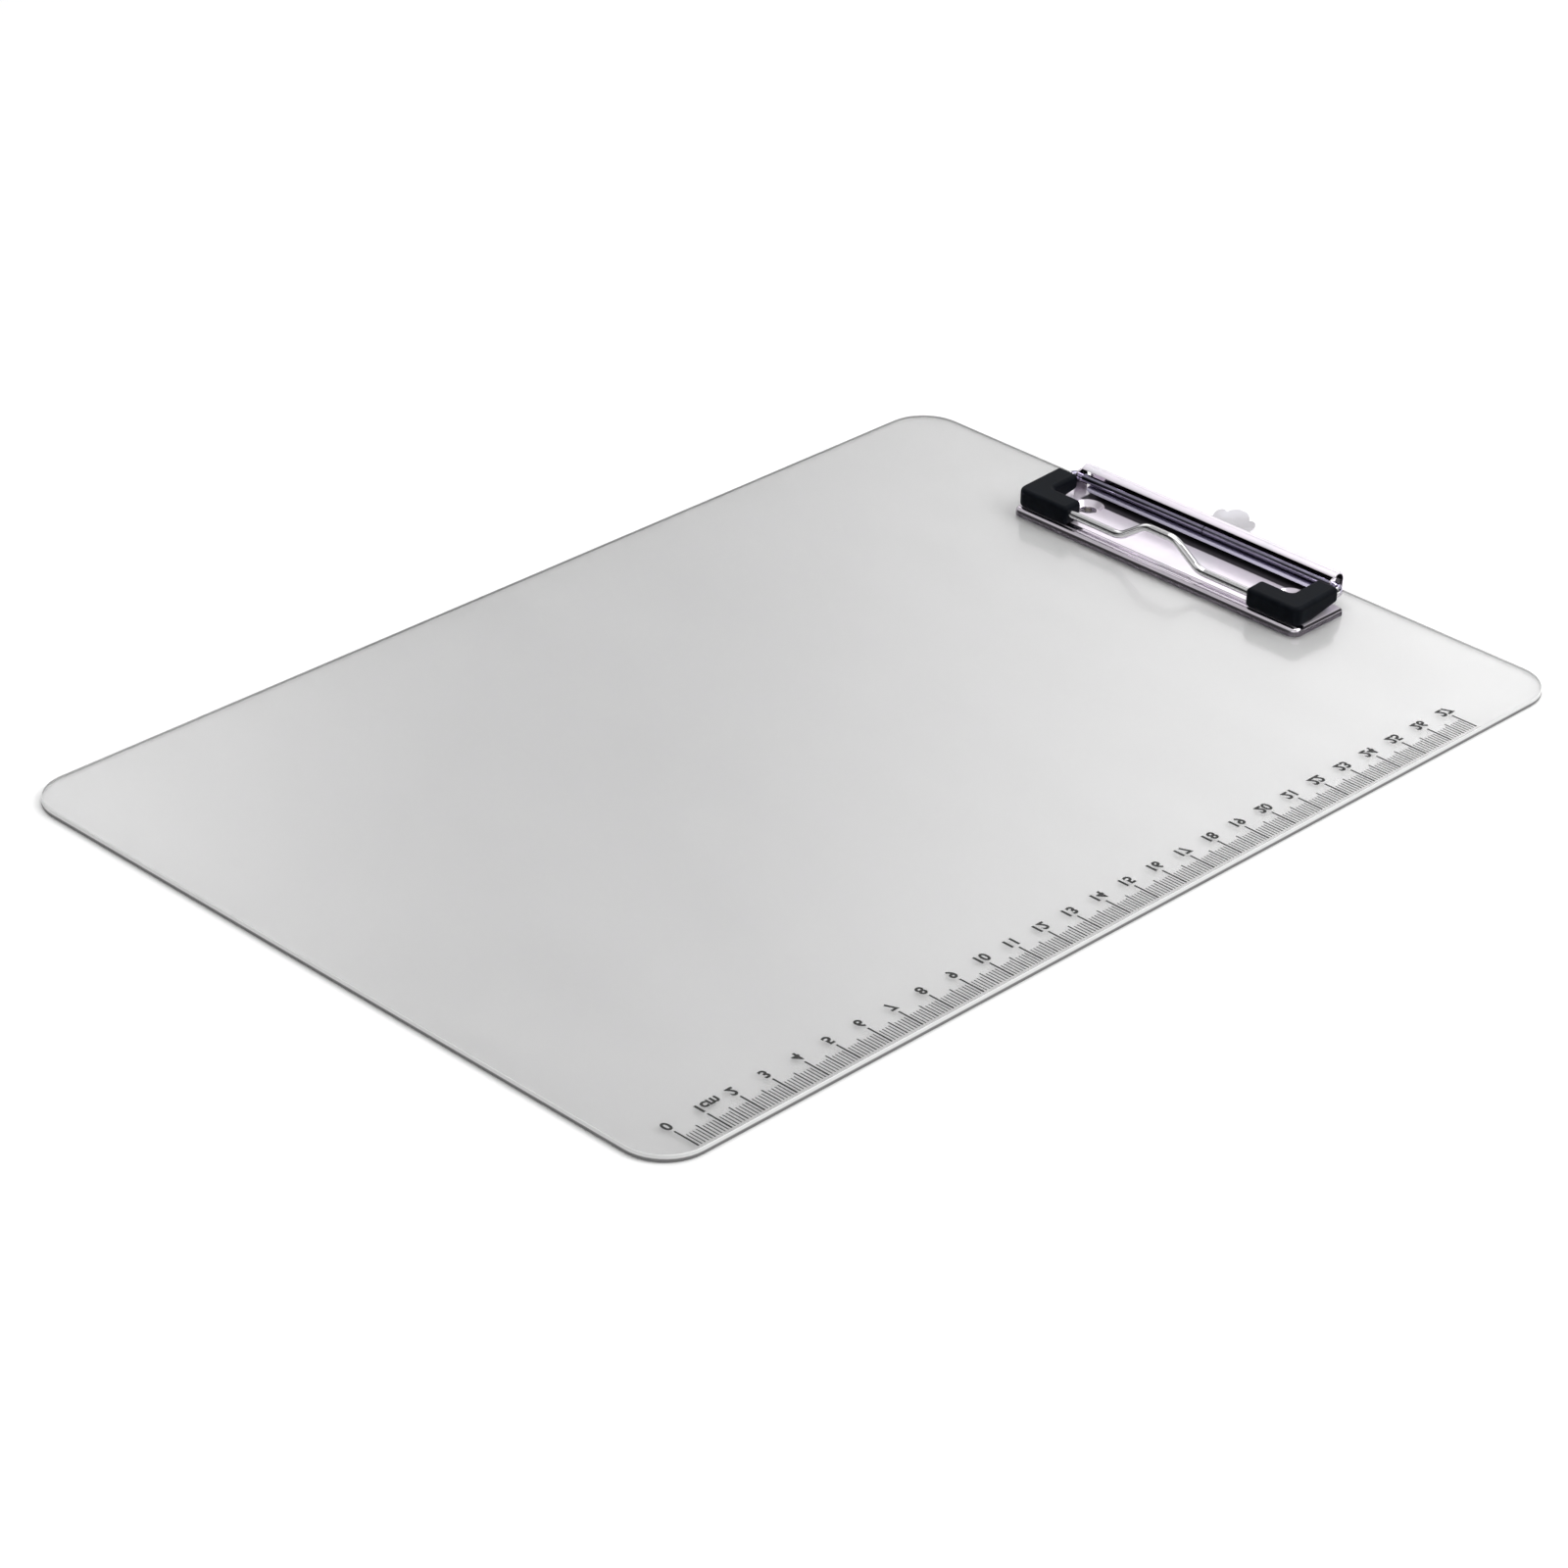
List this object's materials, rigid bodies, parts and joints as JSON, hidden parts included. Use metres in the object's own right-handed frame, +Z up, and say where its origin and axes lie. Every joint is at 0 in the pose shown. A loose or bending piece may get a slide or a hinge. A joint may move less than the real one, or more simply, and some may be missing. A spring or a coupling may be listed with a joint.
{
  "type": "clipboard",
  "caption": "A4 clipboard: a thin clear plastic board with a centimetre scale, a riveted steel wire-bail clip with black corner grips, and a sliding hanger tab.",
  "frame": {"origin": "centre of the board's underside, on the surface that the board lies on", "axes": "+X across the board towards the ruler edge, +Y along the board towards the clip, +Z up out of the writing face"},
  "size_m": [0.22, 0.3213, 0.0142],
  "materials": {
    "clear_board": "glossy, translucent light grey",
    "chromed_sheet": "bright chrome plate",
    "spring_steel": "bright rolled strip",
    "chromed_wire": "bright chrome plate",
    "nickel_rivet": "bright nickel plate",
    "black_cover": "satin moulded black"
  },
  "bodies": {
    "root": {"board": "clear_board", "clip_base": "chromed_sheet", "leaf_spring": "spring_steel", "eyelet_rivet_left": "nickel_rivet", "eyelet_rivet_right": "nickel_rivet", "rivet_washer_left": "nickel_rivet", "rivet_washer_right": "nickel_rivet"},
    "bail": {"wire_bail": "chromed_wire", "corner_cover_left": "black_cover", "corner_cover_right": "black_cover"},
    "hanger": {"hang_tab": "chromed_sheet"}
  },
  "joints": [
    {"name": "bail_swing", "type": "hinge", "parent": "root", "child": "bail", "pos_m": [0, 0.148, 0.0078], "axis": [-1, 0, 0], "range_deg": [0, 95]},
    {"name": "tab_slide", "type": "slide", "parent": "root", "child": "hanger", "axis": [0, 1, 0], "range_m": [0, 0.014]}
  ]
}
